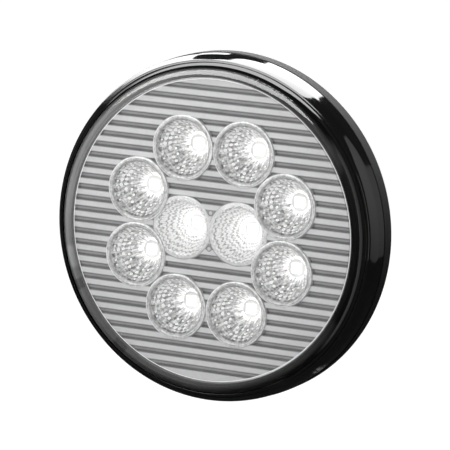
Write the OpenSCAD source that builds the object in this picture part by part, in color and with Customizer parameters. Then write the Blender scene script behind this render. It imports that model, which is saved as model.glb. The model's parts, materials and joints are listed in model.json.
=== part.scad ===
// Round sealed LED trailer tail light with a clear lens, held by a rubber grommet in a vehicle's panel.
// Millimetres. Each piece is drawn face up, with the lens on +Z, and facing() turns it so that the lens
// faces -Y and the flutes run level. The origin is on the lamp's axis, in the middle of the rear band
// that the grommet grips.

/* [Lens] */
// Outside diameter of the lens
lens_d = 101.6; // [98:0.2:106]
// Thickness of the lens face
lens_wall = 1.7; // [1.2:0.1:2.2]
// Radial width of the thick edge round the lens
lens_edge_w = 3.3; // [2.8:0.1:4]
// Radius of the rounding between the face and the edge
lens_round = 2.6; // [1.8:0.1:2.7]
// How far the thick edge reaches down into the housing
lens_skirt = 2.2; // [1.6:0.1:3]

/* [Rim] */
// Depth of the rim, from the face that seats on the grommet to the groove round the lens
rim_depth = 14.5; // [13.5:0.1:18]
// Length of the cylindrical band that the grommet grips
band_w = 4.6; // [3:0.1:6]
// How far the rim's wall flares out from the lip
rim_flare = 1.35; // [0.8:0.05:3]
// Length of the flare, measured along the axis
flare_len = 4.6; // [3:0.1:6]
// Width of the round bead beside the lens
bead_w = 0.95; // [0.6:0.05:1.4]
// Width of the groove between the bead and the lip
bead_groove_w = 0.25; // [0.15:0.05:0.5]
// Width of the lip at the front of the rim
lip_w = 0.6; // [0.5:0.05:1.2]

/* [Rear can] */
// Width of the ledge inside the housing that the circuit board lies on
board_ledge_w = 4.25; // [3.5:0.05:5]
// Depth of the can behind the rim's seat
can_depth = 15.5; // [13:0.5:20]
// Thickness of the can's side wall
can_wall = 2.2; // [1.6:0.1:3]
// Thickness of the can's floor
floor_wall = 2.4; // [1.8:0.1:3.5]

/* [Plug socket] */
// Long side of the socket's opening
socket_l = 30; // [27:0.5:34]
// Short side of the socket's opening
socket_w = 15; // [14:0.2:18]
// Depth of the socket
socket_depth = 16; // [15.8:0.2:18]
// How far the socket's collar stands out of the can's floor
socket_rise = 6; // [5:0.5:8]
// Wall thickness of the socket's collar and well
socket_wall = 2.2; // [1.6:0.1:3]
// Radius of the round terminal pins
pin_r = 2; // [1.5:0.1:2.3]
// Distance between neighbouring pins
pin_pitch = 8.5; // [8:0.1:9.5]
// Length of the pins inside the socket
pin_len = 11; // [8:0.5:11.5]

/* [Optics] */
// Radius of the circle that the ring's bowls stand on
ring_r = 26.9; // [26.6:0.1:27.6]
// How much is cut off the rim of each centre bowl where the two meet
pair_cut = 0.5; // [0.3:0.05:0.55]
// Width of the rim round each bowl's mouth
cup_rim_w = 1.65; // [1.5:0.05:1.8]
// Thickness of that rim
cup_rim_t = 0.6; // [0.4:0.05:0.8]
// Wall thickness of the bowls
cup_wall = 0.6; // [0.4:0.05:0.7]

/* [Fluted plate] */
// Thickness of the plate
plate_t = 2.4; // [2:0.1:3]
// Distance from one flute to the next
flute_pitch = 3.5; // [3:0.1:4.5]
// Width of one flute
flute_w = 1.6; // [1:0.1:2]
// Depth of the flutes
flute_d = 1; // [0.5:0.1:1.3]
// How far the row of flutes sits above the lamp's axis
flute_rise = 0.3; // [0:0.1:0.5]

/* [Circuit board] */
// Thickness of the board
board_t = 1.6; // [1:0.1:2]
// Side of the LED's square package
led_side = 3; // [2.6:0.1:3.1]
// Height of the LED's package
led_h = 0.7; // [0.5:0.1:1]
// Depth of the potting poured on the can's floor
potting_depth = 5.6; // [4:0.2:7]

/* [Hidden] */
$fn = 96;

// Names of the ring's bowls, the centre bowls and the LEDs come after those of the single pieces.

// Bowls in the ring, as many as NODES names
ring_count = 8;

// Clearances and small features
slip = 0.3;           // free space round a piece that drops in
touch = 0.03;         // hair gap between neighbouring bowls
lens_gap = 0.15;      // joint line between the lens and the bead
seal_t = 0.8;         // thickness of the lens seal
ledge_w = 1.75;       // width of the ledge that the seal lies on
edge_break = 0.4;     // chamfer on the rim's back edge
band_step = 0.2;      // how far the band stands out from the wall in front of it
wall_draft = 0.1;     // how much that wall narrows from the fine line to the flare
line_w = 0.35;        // width of the fine line in front of the band
line_d = 0.22;        // its depth
groove_d = 0.7;       // depth of the groove beside the bead
lip_round = 0.45;     // rounding of the lip's outer corner
lip_drop = 0.55;      // how far the lip lies below the bead's top
seat_wall = 1.8;      // wall between the rim's seat and the board
can_draft = 0.35;     // how much smaller the can is at its back
can_round = 1.6;      // rounding of the can's back edge
socket_round = 3;     // corner radius of the socket's opening
flange_w = 2.5;       // flange that carries the socket on the can's floor
flange_t = 1.8;       // its thickness
key_w = 3.2;          // width of the key that turns the plug the right way round
key_h = 1;            // its height
pin_tip = 0.5;        // chamfer at a pin's tip
root_r = 2.4;         // ribbed root of a pin in the wall of the socket's well
tail_r = 1;           // thin end of a pin that goes through the board
collar_r = 2.9;       // collar of a pin on top of the socket's well
collar_h = 1.2;       // its height
tail_rise = 1.2;      // how far a pin's tail stands above the board
solder_r = 1.5;       // foot of a solder joint
solder_h = 0.9;       // height of a solder joint
solder_top_w = 0.25;  // width of a solder joint at its top
screw_r = 1.5;        // thread radius of the board screws
screw_head_r = 2.7;   // head radius
screw_head_h = 1.9;   // head height
screw_len = 8;        // length under the head
screw_slot = 0.7;     // width of the cross recess
boss_r = 3.2;         // bosses under the screws
boss_slip = 0.5;      // free space between a boss and the can's wall
post_r = 0.9;         // posts through the plate and the board
post_body_r = 1.3;    // thick part between the board and the plate
post_head_t = 0.8;    // flattened end under the board
foot_t = 1.4;         // foot of the plate's skirt on the board
skirt_t = 1.5;        // wall of the plate's skirt
plate_chamfer = 0.2;  // chamfer round the plate's top edge
flute_margin = 0.15;  // land between the flutes' ends and the plate's chamfer
rim_step = 0.3;       // how much smaller the rims of the centre pair are than those of the ring
web_w = 0.5;          // least width of the plate between two holes
led_dome_r = 1.25;    // radius of the LED's clear dome
cup_lead = 0.45;      // how much the bowl's mouth opens across its rim
close_slip = 0.1;     // free space in close holes, such as those of the bowls in the plate
land_w = 0.25;        // bare ring of the plate round each bowl's rim

// Electronic parts: [radial, round the lamp, height] of each body, and where it stands on the board
part_margin = 8;              // from the board's edge to the middle of the parts
resistor_body = [1.6, 3.2, 0.6];
resistor_step = 14;           // degrees from one resistor to the next
resistor_turn = 47;           // degrees from the left-hand screw to the middle of each row of resistors
diode_body = [2.6, 4.3, 2.1];
diode_leads = [1.4, 5.2, 0.9];
diode_turns = [14, 28];
capacitor_base = [6.6, 6.6, 1];
capacitor_r = 3.1;
capacitor_h = 5.4;
capacitor_turns = [-38, -52];
regulator_body = [6.1, 6.6, 2.3];
regulator_tab = [2.4, 5.4, 0.5];
regulator_leg = [2.4, 0.8, 0.6];
regulator_leg_off = 2.3;      // from the regulator's middle to each of its legs
regulator_turn = 50;
surge_body = [5.9, 6.9, 2.3];
surge_leads = [3, 8, 1];
surge_turn = 72;

// Roundness
arc_steps = 8;        // straight steps in each round stretch of an outline
bowl_steps = 10;      // steps in a bowl's curve

// Heights, from the back of the rim to its front
seat_z = -(band_w / 2 + edge_break);
groove_z = seat_z + rim_depth;
ledge_z = seat_z + seat_wall;
board_z = ledge_z + board_t;
lens_foot_z = groove_z - lens_skirt;
lens_ledge_z = lens_foot_z - seal_t;
lens_in_z = groove_z + lens_round - lens_wall;
lens_out_z = groove_z + lens_round;
plate_z = lens_in_z - slip / 2 - cup_rim_t;
can_z = seat_z - can_depth;
floor_z = can_z + floor_wall;
mouth_z = can_z - socket_rise;
well_z = mouth_z + socket_depth;
well_top_z = well_z + socket_wall;

// Radii, from the axis outwards
lens_r = lens_d / 2;
pocket_r = lens_r + lens_gap;
bead_r = pocket_r + bead_w;
lip_in_r = bead_r + bead_groove_w;
lip_r = lip_in_r + lip_w;
wall_r = lip_r + rim_flare + wall_draft;
band_r = wall_r + band_step;
field_r = lens_r - lens_edge_w;
plate_r = field_r - slip;
chamber_r = pocket_r - ledge_w;
board_r = chamber_r - slip;
can_in_r = chamber_r - board_ledge_w;
can_r = can_in_r + can_wall + can_draft;
screw_circle_r = can_in_r - boss_r - boss_slip;
post_off = pin_pitch - solder_r - post_body_r - close_slip;

// Bowls: the ring's rims touch each other. The rims of the centre pair lie lower, reach under the
// ring's and are cut where they meet each other and the ring's bowls. Their mouths are as wide as they
// can be with web_w of the plate left between its holes.
ring_turn = 180 / ring_count;
ring_cup_r = ring_r * sin(ring_turn) - touch;
centre_cup_r = ring_cup_r - rim_step;
centre_off = centre_cup_r - pair_cut;
ring_mouth_r = ring_cup_r - cup_rim_w;
ring_hole_r = ring_mouth_r + cup_wall + close_slip;
hole_apart = norm([ring_r * cos(ring_turn) - centre_off, ring_r * sin(ring_turn)]);
centre_hole_r = hole_apart - ring_hole_r - web_w;
centre_mouth_r = centre_hole_r - close_slip - cup_wall;
led_count = ring_count + 2;

// Where bowl i stands: the ring first, counter-clockwise, then the centre pair
function spot(i) = i < ring_count
    ? ring_r * [cos(ring_turn * (2 * i + 1)), sin(ring_turn * (2 * i + 1))]
    : [i == ring_count ? -centre_off : centre_off, 0];

function arc(at, r, from, to) = [
    for (i = [0 : arc_steps])
        let (a = from + (to - from) * i / arc_steps)
        at + r * [cos(a), sin(a)]
];

// Turns a piece that is drawn face up into the lamp's own frame
module facing() {
    rotate([90, 0, 0]) children();
}

module at_z(z) {
    translate([0, 0, z]) children();
}

module rounded_box(l, w, r, h) {
    linear_extrude(h) {
        square([w - 2 * r, l], center = true);
        square([w, l - 2 * r], center = true);
        for (x = [-1, 1], y = [-1, 1])
            translate([x * (w / 2 - r), y * (l / 2 - r)]) circle(r);
    }
}

module pin_places() {
    for (k = [-1 : 1]) translate([0, k * pin_pitch, 0]) children();
}

module screw_places() {
    for (k = [0 : 3]) rotate(90 * k) translate([screw_circle_r, 0, 0]) children();
}

module post_places() {
    for (k = [-1, 1]) translate([0, k * post_off, 0]) children();
}

// ---- Housing ----

// Half section of the rim and the can, from the back of the can round to its inside
module housing_section() {
    lip_z = groove_z - lip_drop;
    flare_rho = (rim_flare * rim_flare + flare_len * flare_len) / (2 * rim_flare);
    flare_turn = asin(flare_len / flare_rho);
    flare_z = lip_z - lip_round * (1 - sin(flare_turn)) - flare_len;
    can_back_r = can_r - can_draft;
    polygon(concat(
        [[0, can_z]],
        arc([can_back_r - can_round, can_z + can_round], can_round, -90, 0),
        [
            [can_r, seat_z],
            [band_r - edge_break, seat_z],
            [band_r, seat_z + edge_break],
            [band_r, band_w / 2],
            [wall_r - line_d, band_w / 2 + line_w / 2],
            [wall_r, band_w / 2 + line_w]
        ],
        arc([wall_r - wall_draft - flare_rho, flare_z], flare_rho, 0, flare_turn),
        arc([lip_r - lip_round * cos(flare_turn), lip_z - lip_round], lip_round, flare_turn, 90),
        [
            [lip_in_r, lip_z],
            [lip_in_r, lip_z - groove_d],
            [bead_r, lip_z - groove_d]
        ],
        arc([bead_r - bead_w / 2, groove_z - bead_w / 2], bead_w / 2, 0, 180),
        [
            [pocket_r, lens_ledge_z],
            [chamber_r, lens_ledge_z],
            [chamber_r, ledge_z],
            [can_in_r, ledge_z],
            [can_in_r, floor_z],
            [0, floor_z]
        ]
    ));
}

module screw_bosses() {
    screw_places() at_z(floor_z - 1) cylinder(r = boss_r, h = ledge_z - floor_z + 1);
}

module housing() {
    color([0.03, 0.03, 0.035])
        facing()
            difference() {
                union() {
                    rotate_extrude() housing_section();
                    screw_bosses();
                }
                at_z(can_z - 1) socket_outline(floor_wall + 2, close_slip);
                screw_places() at_z(ledge_z - screw_len) cylinder(r = screw_r, h = screw_len + 1);
            }
}

// ---- Plug socket: dropped into the floor of the can from inside and sealed in by the potting ----

// Outside of the socket's collar and well, grown by a free space when it cuts a hole
module socket_outline(h, free = 0) {
    side = 2 * (socket_wall + free);
    rounded_box(socket_l + side, socket_w + side, socket_round + socket_wall + free, h);
}

module socket_body() {
    at_z(mouth_z) socket_outline(well_top_z - mouth_z);
    at_z(floor_z) socket_outline(flange_t, flange_w);
}

module socket_recess() {
    difference() {
        at_z(mouth_z - 1) rounded_box(socket_l, socket_w, socket_round, well_z - mouth_z + 1);
        translate([socket_w / 2 - key_h, -key_w / 2, mouth_z - 2])
            cube([key_h + 1, key_w, socket_depth + 3]);
    }
}

module plug_socket() {
    color([0.05, 0.05, 0.055])
        facing()
            difference() {
                socket_body();
                socket_recess();
                pin_places() at_z(well_z - 1) cylinder(r = root_r, h = socket_wall + 2);
            }
}

// ---- Lens and seal ----

module lens_section() {
    polygon(concat(
        [
            [0, lens_in_z],
            [field_r, lens_in_z],
            [field_r, lens_foot_z],
            [lens_r, lens_foot_z]
        ],
        arc([lens_r - lens_round, groove_z], lens_round, 0, 90),
        [[0, lens_out_z]]
    ));
}

module outer_lens() {
    color([0.92, 0.95, 0.97, 0.35]) facing() rotate_extrude() lens_section();
}

module lens_seal() {
    color([0.12, 0.12, 0.13])
        facing()
            at_z(lens_ledge_z)
                difference() {
                    cylinder(r = lens_r - lens_gap, h = seal_t);
                    at_z(-1) cylinder(r = chamber_r + lens_gap, h = seal_t + 2);
                }
}

// ---- Fluted plate ----

// Half section of the plate with the skirt and foot that it stands on
module plate_section() {
    polygon([
        [0, plate_z - plate_t],
        [plate_r - skirt_t, plate_z - plate_t],
        [plate_r - skirt_t, board_z],
        [board_r, board_z],
        [board_r, board_z + foot_t],
        [plate_r, board_z + foot_t],
        [plate_r, plate_z - plate_chamfer],
        [plate_r - plate_chamfer, plate_z],
        [0, plate_z]
    ]);
}

// Flutes right across the plate. Their ends follow one circle, just inside the plate's chamfer.
module flutes() {
    reach_r = plate_r - plate_chamfer - flute_margin;
    last = floor((reach_r - flute_w - flute_rise) / flute_pitch - 0.5);
    intersection() {
        at_z(plate_z - flute_d) cylinder(r = reach_r, h = flute_d + 1);
        for (k = [-last - 1 : last])
            translate([-plate_r, (k + 0.5) * flute_pitch + flute_rise - flute_w / 2, plate_z - flute_d])
                cube([2 * plate_r, flute_w, flute_d + 1]);
    }
}

// The plate stays flat under each bowl's rim and in a narrow ring round it
module cup_lands() {
    for (i = [0 : led_count - 1])
        translate(spot(i))
            at_z(plate_z - plate_t)
                cylinder(r = (i < ring_count ? ring_cup_r : centre_cup_r) + land_w, h = 2 * plate_t);
    post_places() at_z(plate_z - plate_t) cylinder(r = post_r + 2 * land_w, h = 2 * plate_t);
}

module cup_holes() {
    for (i = [0 : led_count - 1])
        translate(spot(i))
            at_z(plate_z - plate_t - 1)
                cylinder(r = i < ring_count ? ring_hole_r : centre_hole_r, h = plate_t + 2);
    for (i = [ring_count : led_count - 1])
        translate(spot(i)) at_z(plate_z - cup_rim_t) cylinder(r = centre_cup_r, h = cup_rim_t + 1);
}

module fluted_plate() {
    color([0.86, 0.87, 0.88])
        facing()
            difference() {
                rotate_extrude() plate_section();
                difference() {
                    flutes();
                    cup_lands();
                }
                cup_holes();
                post_places() at_z(plate_z - plate_t - 1) cylinder(r = post_r, h = plate_t + 2);
            }
}

module plate_posts() {
    color([0.8, 0.82, 0.84])
        facing()
            post_places() {
                at_z(ledge_z) cylinder(r = post_r, h = plate_z - ledge_z);
                at_z(board_z) cylinder(r = post_body_r, h = plate_z - plate_t - board_z);
                at_z(ledge_z - post_head_t) cylinder(r = post_body_r, h = post_head_t);
            }
}

// ---- Bowls and LEDs ----

// A paraboloid that is mouth_r wide at its mouth, with its focus where the LED sits
module cup_section(depth, mouth_r, rim_r) {
    focal = (sqrt(depth * depth + mouth_r * mouth_r) - depth) / 2;
    bowl = [
        for (i = [0 : bowl_steps])
            let (h = depth * i / bowl_steps)
            [2 * sqrt(focal * (h + focal)), h]
    ];
    polygon(concat(
        bowl,
        [
            [mouth_r + cup_lead, depth + cup_rim_t],
            [rim_r, depth + cup_rim_t],
            [rim_r, depth]
        ],
        [for (i = [bowl_steps : -1 : 0]) bowl[i] + [cup_wall, 0]]
    ));
}

module ring_cup(i) {
    color([0.78, 0.8, 0.82])
        facing()
            translate(spot(i - 1))
                at_z(board_z)
                    rotate_extrude() cup_section(plate_z - board_z, ring_mouth_r, ring_cup_r);
}

// What the rim of the left (side -1) or right (1) centre bowl gives way to: the other one's rim and the
// bowls of the ring
module rim_cuts(side) {
    at_z(plate_z - plate_t) {
        translate([side < 0 ? -touch : touch - 2 * centre_cup_r, -centre_cup_r, 0])
            cube([2 * centre_cup_r, 2 * centre_cup_r, 2 * plate_t]);
        for (i = [0 : ring_count - 1]) translate(spot(i)) cylinder(r = ring_hole_r, h = 2 * plate_t);
    }
}

module centre_cup(i) {
    color([0.82, 0.84, 0.86])
        facing()
            difference() {
                translate(spot(ring_count + i - 1))
                    at_z(board_z)
                        rotate_extrude()
                            cup_section(plate_z - cup_rim_t - board_z, centre_mouth_r, centre_cup_r);
                rim_cuts(i == 1 ? -1 : 1);
            }
}

module led(i) {
    color([1, 0.98, 0.85])
        facing()
            translate(spot(i - 1))
                at_z(board_z) {
                    translate([-led_side / 2, -led_side / 2, 0]) cube([led_side, led_side, led_h]);
                    intersection() {
                        at_z(led_h) sphere(led_dome_r);
                        cylinder(r = led_side, h = led_side);
                    }
                }
}

// ---- Circuit board and what it carries ----

module circuit_board() {
    color([0.1, 0.32, 0.18])
        facing()
            difference() {
                at_z(ledge_z) cylinder(r = board_r, h = board_t);
                at_z(ledge_z - 1) {
                    pin_places() cylinder(r = tail_r, h = board_t + 2);
                    post_places() cylinder(r = post_r, h = board_t + 2);
                    screw_places() cylinder(r = screw_r + close_slip, h = board_t + 2);
                }
            }
}

module board_screws() {
    color([0.75, 0.76, 0.78])
        facing()
            screw_places()
                difference() {
                    union() {
                        at_z(board_z) cylinder(r = screw_head_r, h = screw_head_h);
                        at_z(board_z + board_t - screw_len) cylinder(r = screw_r, h = screw_len);
                    }
                    at_z(board_z + screw_head_h / 2)
                        for (turn = [0, 90])
                            rotate(turn)
                                translate([-screw_r, -screw_slot / 2, 0])
                                    cube([2 * screw_r, screw_slot, screw_head_h]);
                }
}

// Puts an electronic part on the board outside the ring, at an angle round the lamp
module on_board(turn) {
    facing() rotate(turn) translate([board_r - part_margin, 0, board_z]) children();
}

// A box that stands on the board, its middle moved out by shift_x and round by shift_y
module block(size, shift_x = 0, shift_y = 0) {
    translate([shift_x - size.x / 2, shift_y - size.y / 2, 0]) cube(size);
}

module resistors() {
    color([0.08, 0.08, 0.08])
        for (side = [-1, 1], k = [-2 : 2])
            on_board(180 + side * resistor_turn + k * resistor_step) block(resistor_body);
}

module diodes() {
    color([0.12, 0.12, 0.13])
        for (turn = diode_turns)
            on_board(turn) {
                block(diode_body);
                block(diode_leads);
            }
}

module capacitors() {
    color([0.7, 0.72, 0.74])
        for (turn = capacitor_turns)
            on_board(turn) {
                block(capacitor_base);
                cylinder(r = capacitor_r, h = capacitor_h);
            }
}

module regulator() {
    half = regulator_body.x / 2;
    color([0.09, 0.09, 0.1])
        on_board(regulator_turn) {
            block(regulator_body);
            block(regulator_tab, half);
            for (side = [-1, 1]) block(regulator_leg, -half, side * regulator_leg_off);
        }
}

module surge_suppressor() {
    color([0.1, 0.1, 0.11])
        on_board(surge_turn) {
            block(surge_body);
            block(surge_leads);
        }
}

module solder_joints() {
    color([0.7, 0.71, 0.73])
        facing()
            pin_places()
                at_z(board_z)
                    rotate_extrude()
                        polygon([
                            [tail_r, 0],
                            [solder_r, 0],
                            [tail_r + solder_top_w, solder_h],
                            [tail_r, solder_h]
                        ]);
}

module potting() {
    color([0.05, 0.05, 0.06])
        facing()
            difference() {
                at_z(floor_z) cylinder(r = can_in_r, h = potting_depth);
                socket_body();
                screw_bosses();
            }
}

// ---- Terminal pins ----

// Pin k of the row: its round tip in the socket, its collar on the well and its tail in the board
module terminal_pin(k) {
    color([0.78, 0.6, 0.28])
        facing()
            translate([0, k * pin_pitch, 0])
                rotate_extrude()
                    polygon([
                        [0, well_z - pin_len],
                        [pin_r - pin_tip, well_z - pin_len],
                        [pin_r, well_z - pin_len + pin_tip],
                        [pin_r, well_z],
                        [root_r, well_z],
                        [root_r, well_top_z],
                        [collar_r, well_top_z],
                        [collar_r, well_top_z + collar_h],
                        [tail_r, well_top_z + collar_h],
                        [tail_r, board_z + tail_rise],
                        [0, board_z + tail_rise]
                    ]);
}

module ground_pin() {
    terminal_pin(-1);
}

module tail_pin() {
    terminal_pin(0);
}

module stop_pin() {
    terminal_pin(1);
}

housing();
plug_socket();
outer_lens();
lens_seal();
fluted_plate();
plate_posts();
circuit_board();
board_screws();
resistors();
diodes();
capacitors();
regulator();
surge_suppressor();
solder_joints();
potting();
ground_pin();
tail_pin();
stop_pin();
for (i = [1 : ring_count]) ring_cup(i);
for (i = [1 : 2]) centre_cup(i);
for (i = [1 : led_count]) led(i);
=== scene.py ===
# %% [markdown]
# # Round sealed LED trailer tail light
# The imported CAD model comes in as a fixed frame. It is made of loose triangles that are shaded flat, so what the
# camera sees of the round, glossy pieces is modelled again here, finer and smooth, in exactly the same place.
# Everything is in metres: -Y is the way the lamp shines, +Z is up, and the origin is on the lamp's axis.

import json
import math

import bmesh
import bpy
from mathutils import Matrix, Vector
from mathutils.bvhtree import BVHTree


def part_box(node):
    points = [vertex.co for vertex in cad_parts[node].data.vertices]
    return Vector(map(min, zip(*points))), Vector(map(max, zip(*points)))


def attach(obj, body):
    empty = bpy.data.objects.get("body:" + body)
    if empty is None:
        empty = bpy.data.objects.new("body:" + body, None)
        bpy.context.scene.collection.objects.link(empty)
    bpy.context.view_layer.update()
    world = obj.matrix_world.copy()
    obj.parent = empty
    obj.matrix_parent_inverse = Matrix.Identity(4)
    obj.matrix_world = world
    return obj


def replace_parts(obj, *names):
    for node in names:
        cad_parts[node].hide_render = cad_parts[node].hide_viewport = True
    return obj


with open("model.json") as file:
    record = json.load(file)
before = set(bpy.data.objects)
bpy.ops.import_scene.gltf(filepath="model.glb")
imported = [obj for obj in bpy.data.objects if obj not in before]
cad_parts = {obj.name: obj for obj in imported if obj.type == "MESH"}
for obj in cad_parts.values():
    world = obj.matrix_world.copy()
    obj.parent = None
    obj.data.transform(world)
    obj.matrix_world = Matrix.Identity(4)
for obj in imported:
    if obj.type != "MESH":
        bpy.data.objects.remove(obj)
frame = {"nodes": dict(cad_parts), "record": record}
scene = bpy.context.scene
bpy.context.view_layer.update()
MM = 0.001
print("CAD nodes:", len(frame["nodes"]))

# %% [markdown]
# ## What the photograph fixes
# These points are read off the photograph, in its own 450 x 450 frame, and no other pixel coordinates are used. The
# camera was settled by them. At the end the script measures how far each is from what the camera sees.

# %% Image points
PHOTO = 450
IMAGE_POINTS = {
    "left": 60,
    "right": 391,
    "top": 52,
    "bottom": 401,
    "ring_cup_1": (284.0, 208.7),
    "ring_cup_2": (243.1, 154.4),
    "ring_cup_3": (183.1, 149.0),
    "ring_cup_4": (137.0, 191.0),
    "ring_cup_5": (135.0, 255.3),
    "ring_cup_6": (176.6, 308.2),
    "ring_cup_7": (234.8, 316.3),
    "ring_cup_8": (281.0, 274.1),
    "centre_cup_1": (180.6, 230.2),
    "centre_cup_2": (235.7, 235.0),
    "field": (210.0, 230.9),
    "upper_post": (209.0, 214.0),
    "lower_post": (206.5, 248.5),
    "highlight_patch": (320.0, 369.5),
}
print("image points:", len(IMAGE_POINTS))

# %% [markdown]
# ## The camera
# A camera can be set by eye. Here it was worked out: the rim and the bowls are circles, so their ellipses give the
# direction, and the way the ellipses shift with depth gives the distance. The lamp was photographed from its right
# and a little above, from far away, with the picture tipped a little.

# %% Camera
CAMERA_TURN = math.radians(24.72)
CAMERA_RISE = math.radians(9.96)
CAMERA_TIP = math.radians(2.73)
CAMERA_DISTANCE = 1.0855
CAMERA_LENS = 280.0
CAMERA_SENSOR = 36.0
CAMERA_AIM = Vector((-0.3, -0.3, 0.2)) * MM


def add_camera():
    back = Vector((
        math.sin(CAMERA_TURN) * math.cos(CAMERA_RISE),
        -math.cos(CAMERA_TURN) * math.cos(CAMERA_RISE),
        math.sin(CAMERA_RISE),
    ))
    right = Vector((math.cos(CAMERA_TURN), math.sin(CAMERA_TURN), 0))
    up = back.cross(right)
    turned = Matrix((right, up, back)).transposed() @ Matrix.Rotation(CAMERA_TIP, 3, "Z")
    data = bpy.data.cameras.new("camera")
    data.lens = CAMERA_LENS
    data.sensor_width = CAMERA_SENSOR
    data.sensor_fit = "AUTO"
    data.clip_start = 0.05
    data.clip_end = 50
    camera = bpy.data.objects.new("camera", data)
    camera.matrix_world = Matrix.Translation(CAMERA_AIM + back * CAMERA_DISTANCE) @ turned.to_4x4()
    scene.collection.objects.link(camera)
    return camera


camera = add_camera()
scene.camera = camera
bpy.context.view_layer.update()
print("camera at", [round(c, 4) for c in camera.matrix_world.translation])

# %% [markdown]
# ## From a picture point to a place
# A ray through a pixel meets the finished piece that carries the detail. Blender's own helpers don't know this frame,
# so the ray is worked out from the lens and the sensor. One that misses takes the place nearest to it.


# %% Ray placing
def place_on(point, carrier):
    """The place on carrier that shows at this point of the photograph."""
    data = camera.data
    half = PHOTO / 2
    reach = -PHOTO * data.lens / data.sensor_width
    ray = Vector((point[0] - half + data.shift_x * PHOTO, half - point[1] + data.shift_y * PHOTO, reach))
    start = camera.matrix_world.translation
    ray = (camera.matrix_world.to_3x3() @ ray).normalized()
    tree = BVHTree.FromObject(carrier, bpy.context.evaluated_depsgraph_get())
    hit = tree.ray_cast(start, ray)[0]
    if hit is None:
        beside = start + ray * (CAMERA_AIM - start).dot(ray)
        hit = tree.find_nearest(beside)[0]
    return hit


# %% [markdown]
# ## Writing shaders as expressions
# A node tree is easier to read as arithmetic. A Wire is one output of one node. Python's operators on wires add the
# Math nodes, and node() adds any other node.


# %% Wires
class Wire:
    def __init__(self, tree, socket=None):
        self.tree = tree
        self.socket = socket

    def node(self, kind, settings=None, inputs=None, output=0):
        made = self.tree.nodes.new(kind)
        for name, value in (settings or {}).items():
            setattr(made, name, value)
        for name, value in (inputs or {}).items():
            if isinstance(value, Wire):
                self.tree.links.new(value.socket, made.inputs[name])
            else:
                made.inputs[name].default_value = value
        return Wire(self.tree, made.outputs[output])

    def math(self, operation, a, b=0.0):
        return self.node("ShaderNodeMath", {"operation": operation}, {0: a, 1: b})

    def __add__(self, other):
        return self.math("ADD", self, other)

    def __sub__(self, other):
        return self.math("SUBTRACT", self, other)

    def __rsub__(self, other):
        return self.math("SUBTRACT", other, self)

    def __mul__(self, other):
        return self.math("MULTIPLY", self, other)

    def __truediv__(self, other):
        return self.math("DIVIDE", self, other)

    __radd__ = __add__
    __rmul__ = __mul__

    def power(self, exponent):
        return self.math("POWER", self, exponent)

    def size(self):
        return self.math("ABSOLUTE", self)

    def fraction(self):
        return self.math("FRACT", self)

    def whole(self):
        return self.math("FLOOR", self)

    def larger(self, other):
        return self.math("MAXIMUM", self, other)

    def smaller(self, other):
        return self.math("MINIMUM", self, other)

    def fade(self, start, end):
        """0 at start and 1 at end, smooth between them. start may lie beyond end."""
        low, high = min(start, end), max(start, end)
        out = (0.0, 1.0) if start < end else (1.0, 0.0)
        return self.node(
            "ShaderNodeMapRange",
            {"interpolation_type": "SMOOTHSTEP"},
            {"Value": self, "From Min": low, "From Max": high, "To Min": out[0], "To Max": out[1]},
        )

    def fade_mm(self, start, end):
        return self.fade(start * MM, end * MM)

    def mix(self, colour_off, colour_on):
        """One colour where this wire is 0 and the other where it is 1."""
        return self.node(
            "ShaderNodeMix", {"data_type": "RGBA"}, {0: self, 6: colour_off, 7: colour_on}, output=2
        )


def grey(level):
    return (level, level, level, 1)


print("middle grey is", grey(0.5))

# %% [markdown]
# ## Patterns that materials share
# A pattern could be a picture wrapped round the piece, but a picture has one scale and a seam. These are worked out
# at each point, from Object coordinates, or from a piece's own UV map where they follow its surface. Noise gives the
# small unevenness that makes plastic look moulded.


# %% Material helpers
def start_material(name):
    material = bpy.data.materials.new(name)
    material.use_nodes = True
    material.node_tree.nodes.clear()
    return material, Wire(material.node_tree)


def object_place(wire):
    """Object coordinates, in metres."""
    return wire.node("ShaderNodeTexCoord", output=3)


def split(wire, vector):
    """The three parts of a vector."""
    return [wire.node("ShaderNodeSeparateXYZ", None, {0: vector}, output=k) for k in range(3)]


def off_axis(x, z):
    """How far a place is from the axis that x and z are measured from."""
    return (x * x + z * z).power(0.5)


def noise(wire, place, scale, detail, roughness=0.5):
    return wire.node(
        "ShaderNodeTexNoise",
        None,
        {"Vector": place, "Scale": scale, "Detail": detail, "Roughness": roughness},
    )


def shade(wire, level):
    """A neutral colour as bright as level."""
    return wire.node("ShaderNodeCombineColor", None, {0: level, 1: level, 2: level})


def bump(wire, height, strength, distance):
    inputs = {"Height": height, "Strength": strength, "Distance": distance}
    return wire.node("ShaderNodeBump", None, inputs)


def mix_shaders(wire, share, shader_off, shader_on):
    """One shader where share is 0 and the other where it is 1."""
    return wire.node("ShaderNodeMixShader", None, {0: share, 1: shader_off, 2: shader_on})


def principled(wire, **inputs):
    """A Principled shader. An input's name is written with _ for its spaces."""
    inputs = {name.replace("_", " "): value for name, value in inputs.items()}
    return wire.node("ShaderNodeBsdfPrincipled", None, inputs)


def put_on_surface(wire, shader, kind="ShaderNodeOutputMaterial"):
    out = wire.tree.nodes.new(kind)
    wire.tree.links.new(shader.socket, out.inputs["Surface"])


def put_principled(wire, **inputs):
    put_on_surface(wire, principled(wire, **inputs))


print("material helpers ready")

# %% [markdown]
# ## Turned pieces
# Nearly everything here is round. Cylinders with bevels could be stacked up, but a half section that is spun, as on a
# lathe, gives every step, groove and rounding in one outline. It has only the corners that its shape needs, each with
# the radius that a mould maker would give it.


# %% Outlines
def arc(centre, radius, start, end, steps):
    """Points on an arc, in degrees from the radial direction towards +Y."""
    turns = [math.radians(start + (end - start) * k / steps) for k in range(steps + 1)]
    return [(centre[0] + radius * math.cos(a), centre[1] + radius * math.sin(a)) for a in turns]


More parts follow.
